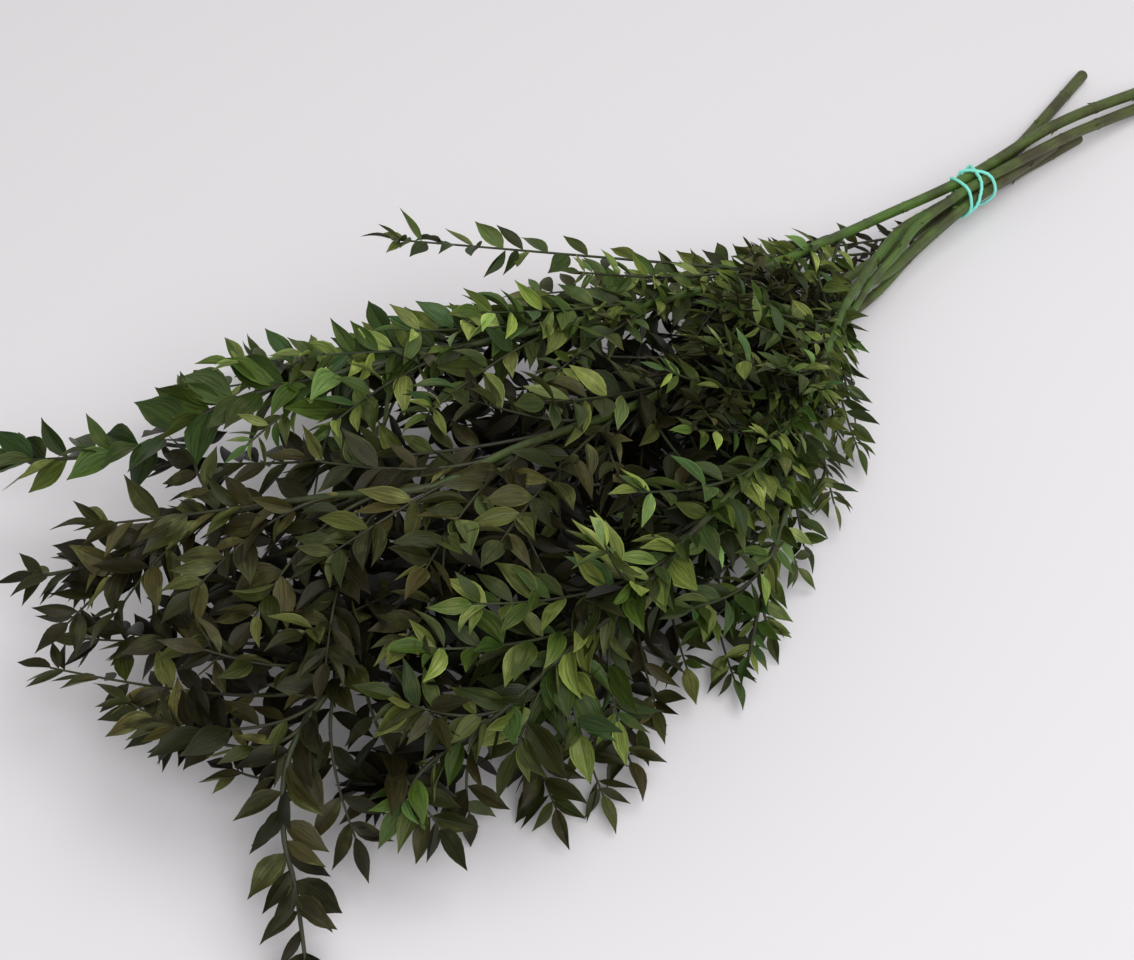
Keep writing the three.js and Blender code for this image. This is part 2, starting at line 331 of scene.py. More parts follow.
def leafFinish():
    material, tree, shader = newFinish("leaf_finish")
    look = leafLook
    across, along, side = separated(tree, readAttribute(tree, "leafPlace")["Vector"])
    # olive share and lightness carry painted shade and light from the cover count, besides each leaf's
    # own tone
    olive, light, chance = separated(tree, readAttribute(tree, "leafTintAndShade")["Vector"])
    outward = calc(tree, "ABSOLUTE", across)

    # lighter leaves are yellower, partly a painted hue of lit leaves
    yellowish = ramp(tree, light, *look["yellowRamp"])
    green = mixed(tree, yellowish, look["green"], look["yellow"])
    green = mixed(tree, ramp(tree, chance, *look["bluishRamp"]), green, look["bluish"])
    colour = mixed(tree, olive, green, look["olive"])
    patches = noise(tree, look["patchScale"])
    patch = ramp(tree, patches, *look["patchRamp"])
    colour = mixed(tree, patch, colour, look["pale"])
    below = ramp(tree, side, *look["belowRamp"])
    colour = mixed(tree, below, colour, look["pale"])

    place = [product(tree, *pair) for pair in zip((across, along, chance), look["streakWay"])]
    streaks = noise(tree, 1.0, place=combined(tree, *place))
    wave = calc(tree, "SINE", product(tree, outward, look["veins"] * math.pi))
    half = look["veinDepth"] / 2
    # the lightness holds painted shade and light, and the lighter margin is partly a painted highlight
    lightness = product(
        tree,
        light,
        ramp(tree, streaks, *look["streakRamp"]),
        calc(tree, "MULTIPLY_ADD", wave, half, 1 - half),
        ramp(tree, outward, *look["midribRamp"]),
        ramp(tree, outward, *look["marginPaleAndHighlightRamp"]),
    )
    colour = shaded(tree, colour, lightness)
    feed(shader, {
        "Base Color": mixed(tree, ramp(tree, along, *look["tipRamp"]), colour, look["tip"]),
        "Roughness": calc(tree, "MULTIPLY_ADD", patches, *look["roughness"]),
        "Specular IOR Level": look["shine"],
        "Normal": bumped(tree, wave, *look["bump"]),
    })
    return material


# Leaf blades

leafSizes = {
    "Columns": ("NodeSocketInt", 8),            # round the blade, over its top and its underside
    "Rows": ("NodeSocketInt", 7),
    "Half Thickness": ("NodeSocketFloat", 0.22 * mm),
    "Rib": ("NodeSocketFloat", 0.3 * mm),       # how deep the midrib is pressed in
    "Rib Slope": ("NodeSocketFloat", -3.0),     # of its groove, over half the leaf's width
    "Rib Thinning": ("NodeSocketFloat", 0.5),   # where the leaf is narrow
    "Blade Thinning": ("NodeSocketFloat", 0.4),
    "Fold": ("NodeSocketFloat", 1.5),           # the higher, the flatter beside the midrib
    "Fullness": ("NodeSocketFloat", 1.0),       # of the outline near the root
    "Taper": ("NodeSocketFloat", 1.5),          # of the outline to the tip
    "Finish": ("NodeSocketMaterial", leafFinish()),
}
leafRim = 60  # degrees, from which a fold stays a sharp edge


def leafTree():
    tree, sizes, identifiers = newTree("leaf blades", leafSizes)

    def times(*values):
        return product(tree, *values)

    def power(value, exponent):
        return calc(tree, "POWER", value, exponent)

    ball = geometryNode(tree, "MeshUVSphere",
                        {"Segments": sizes["Columns"], "Rings": sizes["Rows"], "Radius": 1.0})
    place = separated(tree, geometryNode(tree, "InputPosition"))
    ring = separated(tree, vectorCalc(tree, "NORMALIZE", combined(tree, place["X"], place["Y"])))
    polar = calc(tree, "ARCCOSINE", times(place["Z"], -1.0))
    leafPlace = combined(tree, ring["X"], calc(tree, "DIVIDE", polar, math.pi), ring["Y"])
    blade = stored(tree, ball, "leafPlace", leafPlace)
    blade = geometryNode(tree, "SetShadeSmooth", {"Geometry": blade})
    copies = geometryNode(tree, "InstanceOnPoints",
                          {"Points": sizes["Geometry"], "Instance": blade})
    leaves = geometryNode(tree, "RealizeInstances", {"Geometry": copies})

    here = separated(tree, attribute(tree, "leafPlace"))
    arch, twist, fold = separated(tree, attribute(tree, "leafForm"))
    reach = attribute(tree, "leafReach")     # from the root to the tip
    across = attribute(tree, "leafAcross")   # as long as half the leaf's width
    left = calc(tree, "SUBTRACT", 1.0, here["Y"])
    start, end = sizes["Fullness"], sizes["Taper"]
    widest = calc(tree, "DIVIDE", start, calc(tree, "ADD", start, end))
    rise = power(calc(tree, "DIVIDE", here["Y"], widest), start)
    fall = calc(tree, "DIVIDE", left, calc(tree, "SUBTRACT", 1.0, widest))
    width = times(rise, power(fall, end))

    wideAcross = turned(tree, across, reach, times(twist, here["Y"]))
    flatUp = vectorCalc(tree, "NORMALIZE", vectorCalc(tree, "CROSS_PRODUCT", reach, wideAcross))
    slope = times(arch, calc(tree, "SUBTRACT", 0.5, here["Y"]))
    lift = turned(tree, flatUp, wideAcross, times(slope, -1.0))
    length = vectorCalc(tree, "LENGTH", reach)
    bow = times(length, times(arch, 0.5), times(here["Y"], left))

    outward = calc(tree, "ABSOLUTE", here["X"])
    halfWidth = vectorCalc(tree, "LENGTH", across)
    folded = times(fold, power(outward, sizes["Fold"]), times(halfWidth, width))
    thick = times(here["Z"], sizes["Half Thickness"], power(width, sizes["Blade Thinning"]))
    ribShare = calc(tree, "MULTIPLY_ADD", outward, sizes["Rib Slope"], 1.0)
    ribShare = calc(tree, "MAXIMUM", ribShare, 0.0)
    rib = times(ribShare, sizes["Rib"], power(width, sizes["Rib Thinning"]))
    height = calc(tree, "SUBTRACT", calc(tree, "ADD", folded, thick), rib)

    position = summed(
        tree,
        attribute(tree, "leafRoot"),
        scaled(tree, reach, here["Y"]),
        scaled(tree, flatUp, bow),
        scaled(tree, wideAcross, times(here["X"], width)),
        scaled(tree, lift, height),
    )
    leaves = geometryNode(tree, "SetPosition", {"Geometry": leaves, "Position": position})
    finishTree(tree, leaves, sizes["Finish"])
    return tree, identifiers


leafMaker = leafTree()


def leafMesh(name, leaves):
    shapes = ("leafRoot", "leafReach", "leafAcross", "leafForm")
    values = {label: [x for leaf in leaves for x in leaf[label]] for label in (*shapes, "leafTintAndShade")}
    roots = [leaf["leafRoot"] for leaf in leaves]
    base = pointMesh(name + "_points", roots, [], "FLOAT_VECTOR", values)
    return evaluatedMesh(name, base, leafMaker, leafSizes, shapes, leafRim)


# Rods: stems, shoots and the band

barkLook = {
    "green": (0.060, 0.132, 0.014, 1),
    "brown": (0.060, 0.056, 0.014, 1),
    "streakScale": 9,
    "streakDetail": 4,
    "streakAlong": 12,
    "streak": (1.8, 0.1),    # times the streaks, and plus this
    "stainScale": 45,
    "stainRamp": ((0.45, 0.65), (0.0, 0.45), "LINEAR"),
    "stainless": 1.1,        # lightness of a place without a stain
    "roughness": 0.5,
    "bump": (0.5, 0.0004),
}


def barkFinish():
    material, tree, shader = newFinish("bark_finish")
    look = barkLook
    # rodPlace holds the turn round the rod, the way along it in metres and the brown share
    turn, way, brown = separated(tree, readAttribute(tree, "rodPlace")["Vector"])
    angle = product(tree, turn, 2 * math.pi)
    circle = combined(tree, calc(tree, "COSINE", angle), calc(tree, "SINE", angle),
                      product(tree, way, look["streakAlong"]))
    streaks = noise(tree, look["streakScale"], look["streakDetail"], circle)
    stain = ramp(tree, noise(tree, look["stainScale"]), *look["stainRamp"])
    share = calc(tree, "MINIMUM", calc(tree, "ADD", brown, stain), 1.0)
    colour = mixed(tree, share, look["green"], look["brown"])
    # rodLight is painted shade: main stems darker among the leaves and shoots darker throughout
    lightness = product(
        tree,
        calc(tree, "MULTIPLY_ADD", streaks, *look["streak"]),
        calc(tree, "SUBTRACT", look["stainless"], stain),
        readAttribute(tree, "rodLight")["Fac"],
    )
    feed(shader, {
        "Base Color": shaded(tree, colour, lightness),
        "Roughness": look["roughness"],
        "Normal": bumped(tree, streaks, *look["bump"]),
    })
    return material


bandLook = {
    "colour": (0.20, 0.80, 0.66, 1),
    "dusty": (0.35, 0.80, 0.72, 1),
    "dustScale": 900,
    "dustShare": 0.35,
    "roughness": 0.38,
    "bump": (0.15, 0.0002),
}


def bandFinish():
    material, tree, shader = newFinish("elastic_finish")
    look = bandLook
    dust = noise(tree, look["dustScale"])
    share = product(tree, dust, look["dustShare"])
    feed(shader, {
        "Base Color": mixed(tree, share, look["colour"], look["dusty"]),
        "Roughness": look["roughness"],
        "Normal": bumped(tree, dust, *look["bump"]),
    })
    return material


rodSizes = {"Sides": ("NodeSocketInt", 12), "Finish": ("NodeSocketMaterial", barkFinish())}
bandSizes = {**rodSizes, "Finish": ("NodeSocketMaterial", bandFinish())}
rodRim = 50  # the same round the cut ends


def rodTree():
    tree, sizes, identifiers = newTree("rods along lines", rodSizes)
    line = geometryNode(tree, "MeshToCurve", {"Mesh": sizes["Geometry"]})
    profile = geometryNode(tree, "CurvePrimitiveCircle",
                           {"Resolution": sizes["Sides"], "Radius": 1.0})
    turn = geometryNode(tree, "SplineParameter")
    profile = stored(tree, profile, "turn", turn, "FLOAT")
    rods = geometryNode(tree, "CurveToMesh",
                        {"Curve": line, "Profile Curve": profile, "Fill Caps": True,
                         "Scale": attribute(tree, "girth", "FLOAT")})
    place = combined(tree, *(attribute(tree, name, "FLOAT") for name in ("turn", "way", "brown")))
    rods = stored(tree, rods, "rodPlace", place)
    rods = geometryNode(tree, "SetShadeSmooth", {"Geometry": rods})
    finishTree(tree, rods, sizes["Finish"])
    return tree, identifiers


rodMaker = rodTree()


def rodMesh(name, rods, sizes):
    # each rod is a list of (point, girth, way, brown, light)
    edges, first = [], 0
    for rod in rods:
        edges += [(first + i, first + i + 1) for i in range(len(rod) - 1)]
        first += len(rod)
    places, *numbers = zip(*(entry for rod in rods for entry in rod))
    values = dict(zip(("girth", "way", "brown", "rodLight"), numbers))
    base = pointMesh(name + "_lines", places, edges, "FLOAT", values)
    shapes = ("girth", "way", "brown", "turn")
    return evaluatedMesh(name, base, rodMaker, sizes, shapes, rodRim)


# The rule by which leaves grow, the same as in the solids

growth = {
    "buttDiameter": 7.4,
    "leaderDiameter": 1.8,
    "shootDiameter": 2.2,
    "shootTipDiameter": 1.0,
    "leafSpacing": 13,
    "rootDepth": 0.4,
    "leafWidthShare": 0.46,
    "fullLeaf": 27,       # the length of a leaf that has this width share
    "slimmer": 0.55,      # how much narrower the smaller leaves are
    "stemSteps": 2,       # straight lengths between two points of a stem's route
    "shootSteps": 3,
    "shootBend": 0.42,
    "bareShare": 0.3,
    "steep": 0.95,        # the rise of an axis whose leaves are laid out from another level
    "lean": (50, 24),     # degrees, middle and spread
    "roll": 50,
    "twist": 60,
    "size": (0.87, 0.19, 0.16),
    "tipLeafSize": 0.8,
    "tipLeafBack": 1,     # mm from the end
    "turns": (0, 35, -35, 70, -70, 105, -105),
    "sameTip": 0.5,       # mm, within which a leaf is the one in the solid
    "seedsPerStem": 10000,
    "seedsPerShoot": 100,
}

# What is added between and beyond the solids' leaves
denser = {
    "partnerShare": 0.85,   # of the leaves that get one across from them
    "partnerShift": 6,      # mm, how far along the shoot it may be
    "partnerSize": (0.97, 0.14),
    "partnerSeed": 50,
    "betweenShare": 0.55,   # of the leaves that get one further along on their own side
    "leaderShare": 1.0,     # the same on the leafy end of a stem
    "betweenShift": 3,
    "betweenSize": 0.88,
    "betweenSeed": 25,
    "baseFrom": 0.25,       # share of a shoot's bare length that stays bare
    "baseShift": 4,
    "baseSeed": 75,
    "endLeaves": ((7, 0.8), (4, 0.65)),  # mm back from a shoot's end, size
    "endSeed": 95,
    "spacingShare": 0.46,   # of the leaf length, between the leaves of an added shoot
    "turn": 90,             # degrees, spread of an added leaf's turn round its shoot
    "twist": 70,            # and of its own twist
    "widthShare": 0.85,     # of the width that the solids' leaves have
    "spare": 1,             # mm, for a leaf's own bow and thickness
    "clear": 1,             # mm above the table
    "lifts": 8,             # how often a leaf may be bent up to be clear of it
    "lift": 0.15,
    "flatten": 0.4,
    "moreSeed": 40,         # the first shoot number of those that the solids don't have
    "fillSeed": 60,
    "fillLength": (85, 50),
    "fillLeanSpread": 30,
    "fillLeafFrom": (260, 480),  # mm along the stem, over which the next two change
    "fillLeaf": (0.6, 0.95),  # leaf size near the tie and towards the far end
    "fillLight": (1.15, 1.1),
    "fillLowest": (6, 12),    # mm above the table for its end, at least and drawn on top
}

# A shoot is where it starts along its stem, its tip's x, y and z, its leaf length, olive share and
# lightness and its own bend, if any. A row of fill is its first and last start, its lowest and
# highest tilt, the way from shoot to shoot and their lean. Shoots that start in the bare stretch
# have no leaves at their base, and up to its end the stem itself has only the solid's. A sparse
# shoot, given by its start and leaf length, has more leaves on its outer half alone.
stems = {
    "upper_stem": {
        "slot": "green_leaf", "leafyFrom": 480, "leafLength": 34,
        "brown": 0.05, "olive": 0.12, "light": 0.92,
        "route": [
            (186, 3, 8), (92, 14, 19), (0, 13, 26), (-70, 18, 33), (-110, 18, 41), (-185, 20, 55),
            (-260, 25, 75), (-320, 35, 90), (-375, 55, 95), (-420, 70, 100), (-465, 95, 93),
            (-515, 119, 74), (-553, 162, 58),
        ],
        "fill": [
            (300, 450, 185, 265, 30, 48), (560, 620, 195, 235, 30, 48), (320, 540, 275, 330, 30, 48),
            (285, 400, 190, 240, 14, 30),
        ],
        "sparse": [(365, 22)],
        "bare": (480, 620),
        "shoots": [
            (300, -250, 125, 9, 24, 0.55, 0.8), (350, -320, 150, 9, 24, 0.5, 0.8),
            (365, -350, 115, 116, 22, 0.35, 0.8, 0), (395, -347, 49, 109, 25, 0.1, 1.55),
            (415, -402, 182, 15, 25, 0.15, 1.0), (460, -384, 61, 112, 25, 0.1, 1.55),
            (470, -455, 174, 30, 25, 0.3, 0.9), (575, -455, 112, 98, 24, 0.15, 1.4),
        ],
        "moreShoots": [
            (335, -280, 50, 95, 17, 0.3, 1.3), (405, -345, -5, 105, 20, 0.5, 1.0),
            (530, -430, 85, 108, 22, 0.1, 1.4), (595, -480, 65, 95, 20, 0.3, 1.25),
            (335, -265, -20, 85, 16, 0.4, 1.0), (440, -400, 140, 40, 24, 0.2, 1.0),
            (480, -410, 15, 105, 24, 0.4, 1.0), (540, -450, 40, 105, 24, 0.3, 1.25),
        ],
    },
    "middle_stem": {
        "slot": "olive_leaf", "leafyFrom": 580, "leafLength": 27,
        "brown": 0.45, "olive": 0.9, "light": 0.5,
        "route": [
            (80, 8, 11), (50, 6, 13.2), (0, 1.6, 19.5), (-45, 0, 18), (-95, -7, 19), (-145, -5, 30),
            (-225, -15, 50), (-310, -30, 80), (-390, -30, 105), (-440, -25, 110), (-475, 5, 105),
            (-510, 35, 95), (-545, 60, 80), (-572, 73, 71), (-590, 87, 66),
        ],
        "fill": [
            (260, 660, 185, 260, 30, 48), (275, 645, 280, 355, 30, 48), (190, 360, 60, 170, 12, 28),
        ],
        "bare": (390, 620),
        "shoots": [
            (335, -370, -25, 118, 28, 0.6, 0.9), (360, -420, 90, 75, 26, 0.7, 0.8),
            (400, -440, -75, 115, 27, 0.75, 0.6), (455, -475, -65, 115, 27, 0.8, 0.7),
            (550, -540, -20, 90, 27, 0.9, 0.75), (575, -550, 10, 92, 27, 0.95, 0.7),
            (635, -592, 58, 60, 27, 0.95, 0.7),
        ],
        "moreShoots": [
            (510, -500, -25, 108, 27, 0.75, 0.7), (650, -575, 75, 62, 24, 0.9, 0.9),
            (290, -330, 60, 70, 24, 0.7, 0.6), (430, -500, 110, 60, 26, 0.7, 0.75),
            (595, -560, 75, 90, 28, 0.9, 0.8),
        ],
    },
    "lower_left_stem": {
        "slot": "olive_leaf", "leafyFrom": 456, "leafLength": 29,
        "brown": 0.5, "olive": 0.9, "light": 0.4,
        "route": [
            (60, 17.4, 3.8), (40, 16.8, 4.6), (0, 13, 13), (-50, 10, 12), (-80, 9, 13), (-155, 5, 20),
            (-245, -10, 35), (-335, -20, 50), (-420, -35, 65), (-485, -45, 70), (-530, -60, 70),
            (-560, -70, 60), (-580, -90, 45), (-590, -110, 30), (-605, -135, 15),
        ],
        "fill": [(276, 616, 150, 230, 30, 48), (291, 631, -40, 30, 30, 48)],
        "shoots": [
            (376, -430, 20, 10, 26, 0.9, 0.7), (426, -500, -80, 100, 28, 0.7, 0.75),
            (531, -585, -2, 30, 28, 0.85, 0.8), (591, -608, 53, 45, 24, 0.9, 0.8, 0.2),
            (616, -595, 7, 55, 26, 0.9, 0.8), (636, -576, -45, 38, 25, 0.9, 0.9),
            (536, -575, 35, 60, 27, 0.9, 0.8),
        ],
        "moreShoots": [
            (471, -530, -45, 97, 28, 0.85, 0.85), (296, -330, -20, 20, 24, 0.8, 0.6),
            (416, -500, 60, 20, 26, 0.9, 0.7), (456, -520, 40, 8, 26, 0.9, 0.7),
            (516, -585, 60, 40, 26, 0.85, 0.8), (266, -345, 35, 30, 22, 0.9, 0.5),
            (300, -385, 62, 18, 22, 0.9, 0.5), (330, -402, 45, 38, 24, 0.9, 0.5),
            (104, -112, 46, 13, 17, 0.95, 0.4, 0.15), (128, -138, 54, 18, 18, 0.9, 0.4, 0.15),
        ],
    },
    "front_stem": {
        "slot": "green_leaf", "leafyFrom": 440, "leafLength": 27,
        "brown": 0.2, "olive": 0.25, "light": 1.0,
        "route": [
            (160, 46.5, 3.3), (55, 20, 11), (0, 9.2, 19.5), (-32, 10, 21), (-66, 6.5, 28),
            (-98, -4, 34), (-142, -21, 40), (-170, -36, 46), (-230, -70, 60), (-290, -95, 75),
            (-350, -110, 85), (-395, -120, 85), (-440, -120, 80), (-480, -120, 70),
            (-515, -110, 52), (-535, -115, 45),
        ],
        "fill": [(330, 660, 280, 350, 30, 48), (310, 400, 20, 70, 12, 35)],
        "shoots": [
            (475, -370, -90, 108, 24, 0.3, 1.1), (580, -415, -115, 130, 28, 0.1, 1.35),
            (595, -495, -90, 100, 28, 0.2, 1.25), (625, -460, -150, 65, 29, 0.15, 0.85),
            (670, -515, -90, 82, 26, 0.45, 1.1), (680, -505, -125, 20, 26, 0.8, 0.65),
        ],
        "moreShoots": [
            (420, -315, -70, 95, 20, 0.05, 1.6), (555, -470, -90, 110, 28, 0.25, 1.2),
            (630, -485, -135, 60, 30, 0.4, 0.8), (345, -200, -20, 68, 16, 0.1, 1.5),
            (395, -235, -85, 80, 17, 0.1, 1.6), (410, -270, -50, 95, 18, 0.05, 1.6),
            (430, -290, -95, 90, 19, 0.05, 1.6), (400, -300, -35, 100, 19, 0.1, 1.5),
            (560, -371, -109, 40, 24, 0.3, 0.85), (600, -435, -148, 50, 28, 0.2, 0.85),
        ],
    },
    "edge_stem": {
        "slot": "green_leaf", "leafyFrom": 345, "leafLength": 21,
        "brown": 0.25, "olive": 0.2, "light": 1.05,
        "route": [
            (182, -4.6, 3.5), (118, 2, 12), (75, 4.5, 18), (0, 5.4, 26), (-23, 4.6, 28.3),
            (-60, 0.5, 31), (-87, -8.6, 33), (-118, -15.6, 32.6), (-166, -35.6, 36.6),
            (-210, -55.5, 41.3), (-245, -80, 45), (-280, -105, 40), (-315, -125, 25),
            (-345, -145, 15),
        ],
        "fill": [(345, 500, -50, 10, 26, 48)],
        "shoots": [
            (390, -209, -80, 20, 18, 0.35, 0.9), (405, -315, -105, 70, 20, 0.05, 1.45),
            (425, -241, -95, 15, 20, 0.25, 1.0), (445, -345, -110, 70, 22, 0.1, 1.4),
            (490, -285, -121, 12, 20, 0.3, 1.0), (535, -325, -140, 12, 22, 0.25, 0.9),
        ],
        "moreShoots": [
            (350, -203, -67, 25, 18, 0.3, 0.8), (460, -272, -113, 12, 20, 0.3, 0.8),
            (505, -370, -125, 55, 24, 0.15, 0.95), (355, -270, -80, 70, 18, 0.0, 1.6),
            (500, -355, -122, 25, 22, 0.2, 1.0), (470, -342, -101, 20, 20, 0.25, 0.95),
            (345, -180, -60, 14, 20, 0.4, 0.8), (352, -203, -87, 14, 20, 0.4, 0.8),
            (372, -241, -105, 14, 20, 0.35, 0.8),
        ],
    },
    "under_stem": {
        "slot": "olive_leaf", "leafyFrom": 420, "leafLength": 25,
        "brown": 0.5, "olive": 0.8, "light": 0.78,
        "route": [
            (107, 7.7, 2.9), (78, 9, 3.2), (50, 9.2, 5.4), (0, 5.4, 13), (-57, 0.5, 10), (-100, -9, 11),
            (-145, -15, 13), (-220, -30, 20), (-295, -55, 25), (-380, -75, 30), (-440, -85, 30),
            (-495, -90, 30), (-535, -85, 25),
        ],
        "fill": [(240, 580, -10, 40, 30, 48)],
        "bare": (150, 245),
        "shoots": [
            (200, -280, 60, 12, 24, 0.7, 0.6), (260, -360, 80, 12, 24, 0.8, 0.6),
            (370, -356, -147, 8, 22, 0.3, 0.7), (415, -372, -130, 15, 26, 0.5, 0.7),
            (460, -412, -139, 12, 25, 0.9, 0.6), (500, -448, -153, 8, 25, 0.85, 0.85),
        ],
        "moreShoots": [
            (240, -300, -60, 12, 22, 0.5, 0.7), (535, -470, -145, 10, 26, 0.8, 0.85),
            (180, -260, 20, 8, 22, 0.6, 0.6), (300, -380, -40, 6, 24, 0.8, 0.6),
            (185, -200, 30, 10, 20, 0.9, 0.45, 0.1), (160, -160, 36, 10, 18, 0.9, 0.4, 0.1),
            (590, -512, -102, 22, 24, 0.7, 0.85), (615, -535, -92, 28, 26, 0.75, 0.85),
            (475, -428, -150, 12, 26, 0.9, 0.6), (440, -402, -140, 20, 25, 0.9, 0.6),
        ],
    },
}


def draw(seed, channel):
    # a repeatable draw between 0 and 1: the seed names the leaf, the channel what is drawn
    wave = math.sin(seed * 12.9898 + channel * 78.233) * 43758.5453
    return wave - math.floor(wave)


def spread(seed, channel, middle, width):
    return middle + (draw(seed, channel) - 0.5) * width


def between(start, end, share):
    return start + (end - start) * share


def limited(value):
    return min(max(value, 0), 1)


def stemCurve(route):
    points = [Vector(point) for point in route]
    points = [2 * points[0] - points[1], *points, 2 * points[-1] - points[-2]]
    pieces = len(route) - 1

    def at(share):
        piece = min(int(share * pieces), pieces - 1)
        t = share * pieces - piece
        before, start, end, after = points[piece:piece + 4]
        leave, arrive = (end - before) / 2, (after - start) / 2
        return (start + leave * t + (3 * (end - start) - 2 * leave - arrive) * t ** 2
                + (2 * (start - end) + leave + arrive) * t ** 3)
    return at


def shootCurve(start, direction, tip, bendShare):
    bend = start + direction * bendShare * (tip - start).length

    def at(share):
        return start * (1 - share) ** 2 + bend * 2 * share * (1 - share) + tip * share ** 2
    return at


def newPath(curve, steps):
    # a smooth curve, with the straight lengths that the solids follow
    coarse = [curve(i / steps) for i in range(steps + 1)]
    lengths = [(b - a).length for a, b in zip(coarse, coarse[1:])]
    return {"curve": curve, "coarse": coarse, "lengths": lengths, "length": sum(lengths)}


def shareAt(path, distance):
    left = distance
    for i, length in enumerate(path["lengths"]):
        if left <= length or i == len(path["lengths"]) - 1:
            return (i + left / length) / len(path["lengths"]), i, left
        left -= length


def placeOn(path, distance):
    share, i, left = shareAt(path, distance)
    axis = (path["coarse"][i + 1] - path["coarse"][i]).normalized()
    return path["curve"](share), path["coarse"][i] + axis * left, axis


def leafAt(path, distance, seed, rank, turn, length):
    point, solidPoint, axis = placeOn(path, distance)
    level = Vector((0, 1, 0)) if abs(axis.z) > growth["steep"] else up
    flat = axis.cross(level).normalized()
    roll = (turn + spread(seed, 1, 0, growth["roll"])) * degree
    out = Quaternion(axis, roll) @ flat * rank
    lean = 0 if rank == 0 else spread(seed, 2, *growth["lean"]) * degree
    direction = axis * math.cos(lean) + out * math.sin(lean)
    inPlane = flat if rank == 0 else axis
    across = (inPlane - direction * inPlane.dot(direction)).normalized()
    across = Quaternion(direction, spread(seed, 3, 0, growth["twist"]) * degree) @ across
    if direction.cross(across).z < 0:
        across = -across
    return {
        "root": point + direction * growth["rootDepth"],
        "tip": solidPoint + direction * (growth["rootDepth"] + length),
        "direction": direction,
        "across": across,
        "length": length,
        "seed": seed,
    }


def sizeAt(share, seed):
    ends, rise, random = growth["size"]
    return ends + rise * math.sin(math.pi * share) - random * draw(seed, 4)


def leavesOn(path, start, leafLength, seed, spacing):
    # (distance, rank, length, seed) of each leaf on a path
    count = math.floor((path["length"] - start) / spacing)
    leaves = [
        (start + i * spacing, 1 if i % 2 else -1,
         leafLength * sizeAt(i / count, seed + i), seed + i)
        for i in range(count)
    ]
    end = path["length"] - growth["tipLeafBack"]
    return leaves + [(end, 0, leafLength * growth["tipLeafSize"], seed + count)]


def partnersOf(leaves, spacing, betweenShare):
    # a leaf across the shoot from most of them, and some in between
    partners = []
    for distance, rank, length, seed in leaves:
        partner, further = seed + denser["partnerSeed"], seed + denser["betweenSeed"]
        if rank and draw(partner, 5) < denser["partnerShare"]:
            shift = spread(partner, 6, 0, denser["partnerShift"])
            size = spread(partner, 7, *denser["partnerSize"])
            partners.append((distance + shift, -rank, length * size, partner))
        if rank and draw(further, 5) < betweenShare:
            shift = spread(further, 6, spacing / 2, denser["betweenShift"])
            partners.append((distance + shift, rank, length * denser["betweenSize"], further))
    return partners


def leavesNearEnd(path, leafLength, seed):
    leaves = []
    for back, size in denser["endLeaves"]:
        for rank in (-1, 1):
            leaf = seed + denser["endSeed"] + len(leaves)
            leaves.append((path["length"] - back, rank, leafLength * size, leaf))
    return leaves


def leavesNearBase(start, leafLength, seed, spacing):
    leaves = []
    distance = start - spacing
    while distance > denser["baseFrom"] * start:
        pair = seed + denser["baseSeed"] + 2 * len(leaves)
        for leaf, rank in ((pair, -1), (pair + 1, 1)):
            place = spread(leaf, 6, distance, denser["baseShift"])
            leaves.append((place, rank, leafLength * sizeAt(0, leaf), leaf))
        distance -= spacing
    return leaves


def pointTree(points):
    tree = kdtree.KDTree(len(points))
    for i, point in enumerate(points):
        tree.insert(point, i)
    tree.balance()
    return tree


def asInSolid(path, leaf, corners):
    # the turn round its shoot that this leaf took in the solids, if it is there
    distance, rank, length, seed = leaf
    for turn in growth["turns"]:
        placed = leafAt(path, distance, seed, rank, turn, length)
        if corners.find(placed["tip"])[2] < growth["sameTip"]:
            return placed
    return None


def lowest(leaf):
    tip = leaf["root"] + leaf["direction"] * leaf["length"]
    halfWidth = leaf["length"] * growth["leafWidthShare"] / 2
    middle = (leaf["root"] + tip) / 2
    return min(tip.z, middle.z - halfWidth * abs(leaf["across"].z) - denser["spare"])


def aboveTable(path, leaf):
    # a leaf that would reach the table is bent up and laid flatter until it is clear
    distance, rank, length, seed = leaf
    placed = leafAt(path, distance, seed, rank, spread(seed, 9, 0, denser["turn"]), length)
    twist = Quaternion(placed["direction"], spread(seed, 16, 0, denser["twist"]) * degree)
    placed["across"] = twist @ placed["across"] * denser["widthShare"]
    for _ in range(denser["lifts"]):
        if lowest(placed) > denser["clear"]:
            return placed
        direction = (placed["direction"] + up * denser["lift"]).normalized()
        across = placed["across"] - up * placed["across"].z * denser["flatten"]
        across = (across - direction * direction.dot(across)).normalized()
        placed["direction"] = direction
        placed["across"] = across * denser["widthShare"]
    return None


# painted shade: a leaf with others over it towards the light is made darker and browner, an open one
# lighter
cover = {
    "ways": ((0, 0, 1), (0, -1, 0.8), (0, 1, 0.8), (-1, 0, 1)),  # from which light may come
    "reach": 15,            # mm, how near to the line to the light another leaf counts
    "rise": 5,              # mm, and how much nearer to the light it must be
    "full": 5,              # how many full leaves cover one fully
    "light": (1.23, 0.21),  # painted light and shade: lightness of an open leaf and of a fully covered one
    "olive": 0.35,          # more of it in a fully covered leaf, painted shade as browning
    "dullest": 0.45,        # share of that lightness in the dullest leaf
    "variety": 1.9,         # and what the lightest one has more
    "dullMost": 3,          # the higher, the fewer leaves are light
}


